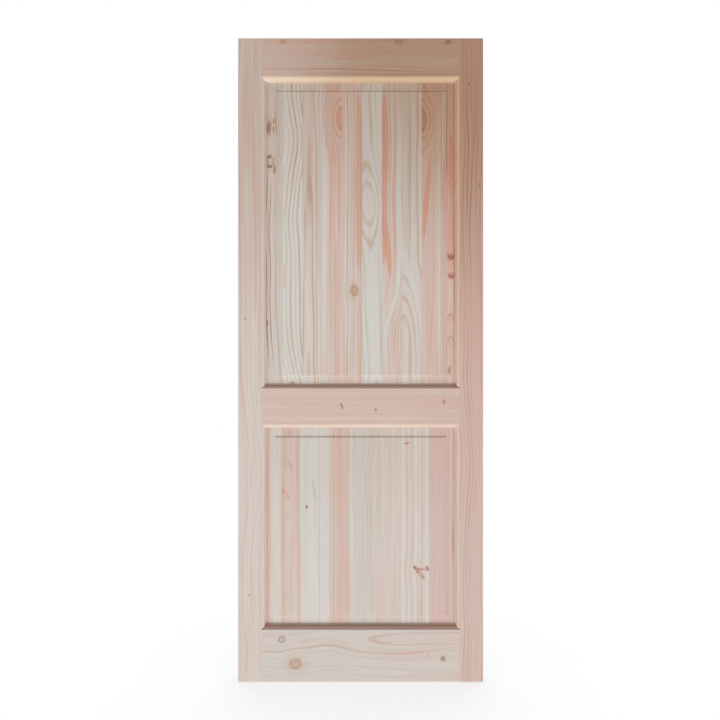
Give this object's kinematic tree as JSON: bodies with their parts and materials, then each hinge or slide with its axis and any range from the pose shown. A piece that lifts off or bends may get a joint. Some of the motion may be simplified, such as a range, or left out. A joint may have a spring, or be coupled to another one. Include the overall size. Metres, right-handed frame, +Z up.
{
  "type": "two-panel door leaf",
  "caption": "Raw pine door leaf: moulded stiles and rails, coped and tenoned, around raised panels glued up from upright staves; hangs by one edge.",
  "frame": {"origin": "foot of the hinge edge, half way through the thickness of the leaf", "axes": "+X across the leaf from the hinge edge to the lock edge, +Z up, front face towards -Y"},
  "size_m": [0.8, 0.04, 2.1],
  "materials": {
    "stile_pine": "planed, raw, matt",
    "rail_pine": "planed, raw, matt",
    "panel_pine": "planed, raw, matt"
  },
  "bodies": {
    "root": {"left_stile": "stile_pine", "right_stile": "stile_pine", "top_rail": "rail_pine", "middle_rail": "rail_pine", "bottom_rail": "rail_pine", "upper_panel_stave_01": "panel_pine", "upper_panel_stave_02": "panel_pine", "upper_panel_stave_03": "panel_pine", "upper_panel_stave_04": "panel_pine", "upper_panel_stave_05": "panel_pine", "upper_panel_stave_06": "panel_pine", "upper_panel_stave_07": "panel_pine", "upper_panel_stave_08": "panel_pine", "upper_panel_stave_09": "panel_pine", "upper_panel_stave_10": "panel_pine", "lower_panel_stave_01": "panel_pine", "lower_panel_stave_02": "panel_pine", "lower_panel_stave_03": "panel_pine", "lower_panel_stave_04": "panel_pine", "lower_panel_stave_05": "panel_pine", "lower_panel_stave_06": "panel_pine", "lower_panel_stave_07": "panel_pine", "lower_panel_stave_08": "panel_pine", "lower_panel_stave_09": "panel_pine"}
  },
  "joints": []
}
